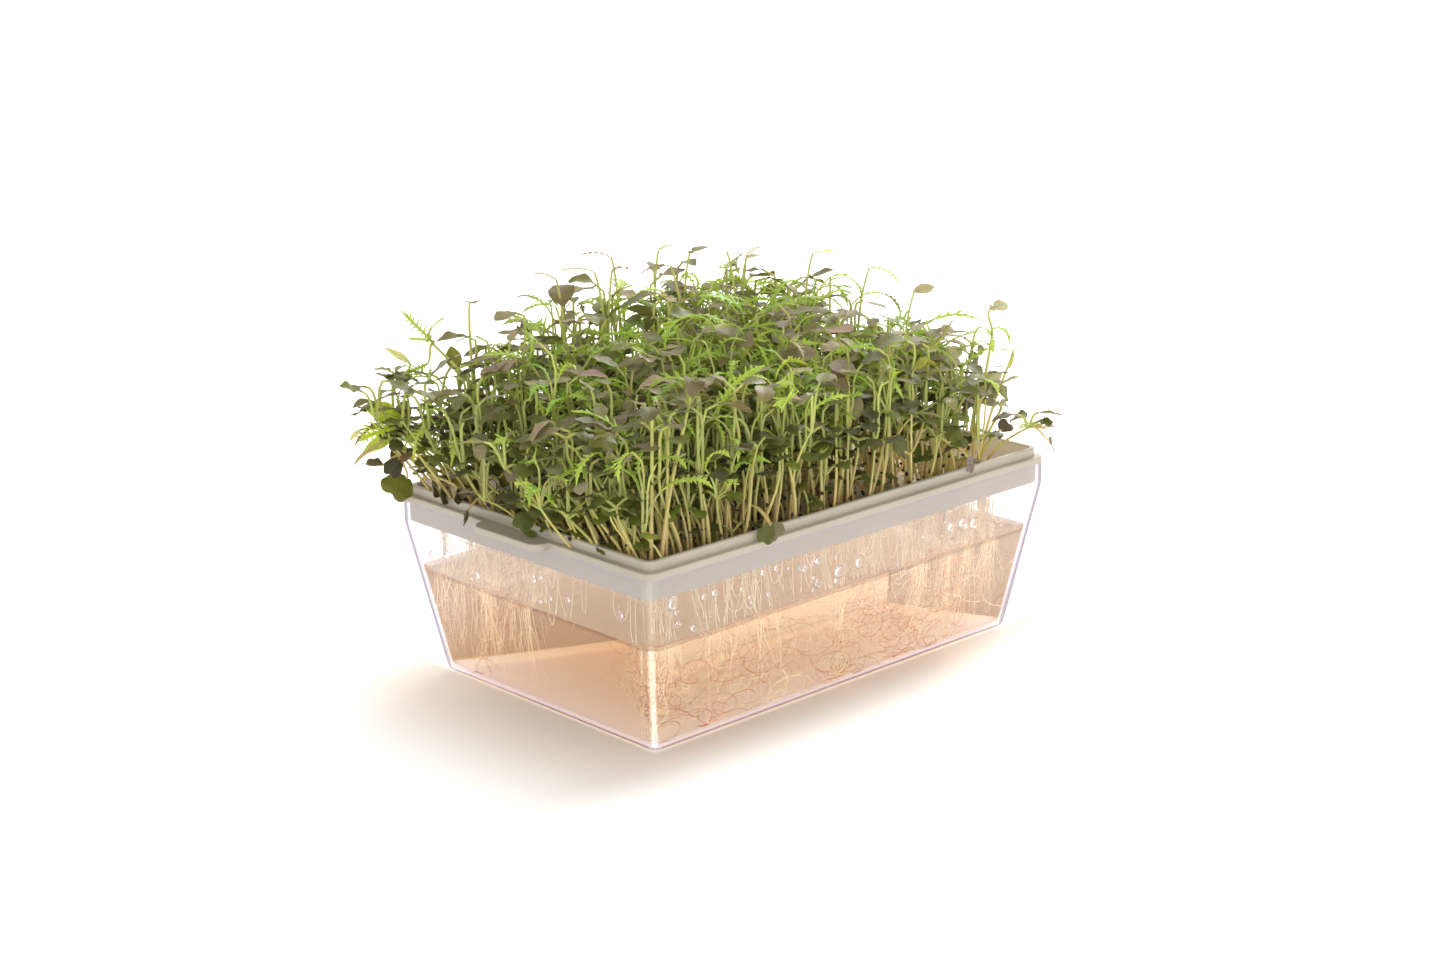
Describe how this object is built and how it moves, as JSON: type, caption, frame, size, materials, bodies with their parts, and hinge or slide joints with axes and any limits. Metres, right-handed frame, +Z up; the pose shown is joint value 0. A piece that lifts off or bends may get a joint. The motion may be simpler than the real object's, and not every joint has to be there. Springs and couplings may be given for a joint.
{
  "type": "microgreens grow tray",
  "caption": "Clear reservoir tub of nutrient solution with a lift-out perforated grow tray holding a soil-less crop of microgreens whose roots hang into the solution.",
  "frame": {"origin": "centre of the tub's flat base, on the surface it stands on", "axes": "+Z up, X along the long side, Y along the short side; the lift tab is at -X"},
  "size_m": [0.2661, 0.162, 0.1642],
  "materials": {
    "clear_tub": "clear moulded plastic, polished, faint lavender edge",
    "solution": "peach-amber nutrient solution, clear, still",
    "tray": "satin moulded plastic, pale grey-beige",
    "seed": "matt seed and hulls, cream to dark brown",
    "root": "fine cream root hairs",
    "mustard_leaf": "soft olive-green seed leaves on cream stems",
    "kale_leaf": "purple-green lobed leaves with a grey-mauve sheen",
    "mizuna_leaf": "yellow-green saw-edged leaves"
  },
  "bodies": {
    "reservoir": {"reservoir_tub": "clear_tub", "nutrient_solution": "solution"},
    "tray": {"grow_tray": "tray", "seed_bed": "seed", "root_tufts": "root", "kale_seedlings_row_1": "kale_leaf", "kale_seedlings_row_2": "kale_leaf", "kale_seedlings_row_3": "kale_leaf", "kale_seedlings_row_4": "kale_leaf", "kale_seedlings_row_5": "kale_leaf", "kale_seedlings_row_6": "kale_leaf", "kale_seedlings_row_7": "kale_leaf", "kale_seedlings_row_8": "kale_leaf", "mizuna_seedlings_row_1": "mizuna_leaf", "mizuna_seedlings_row_2": "mizuna_leaf", "mizuna_seedlings_row_3": "mizuna_leaf", "mizuna_seedlings_row_4": "mizuna_leaf", "mizuna_seedlings_row_5": "mizuna_leaf", "mizuna_seedlings_row_6": "mizuna_leaf", "mizuna_seedlings_row_7": "mizuna_leaf", "mizuna_seedlings_row_8": "mizuna_leaf", "mustard_seedlings_row_1": "mustard_leaf", "mustard_seedlings_row_2": "mustard_leaf", "mustard_seedlings_row_3": "mustard_leaf", "mustard_seedlings_row_4": "mustard_leaf", "mustard_seedlings_row_5": "mustard_leaf", "mustard_seedlings_row_6": "mustard_leaf", "mustard_seedlings_row_7": "mustard_leaf", "mustard_seedlings_row_8": "mustard_leaf"}
  },
  "joints": [
    {"name": "tray_lift", "type": "slide", "parent": "reservoir", "child": "tray", "axis": [0, 0, 1], "range_m": [0, 0.12]}
  ]
}
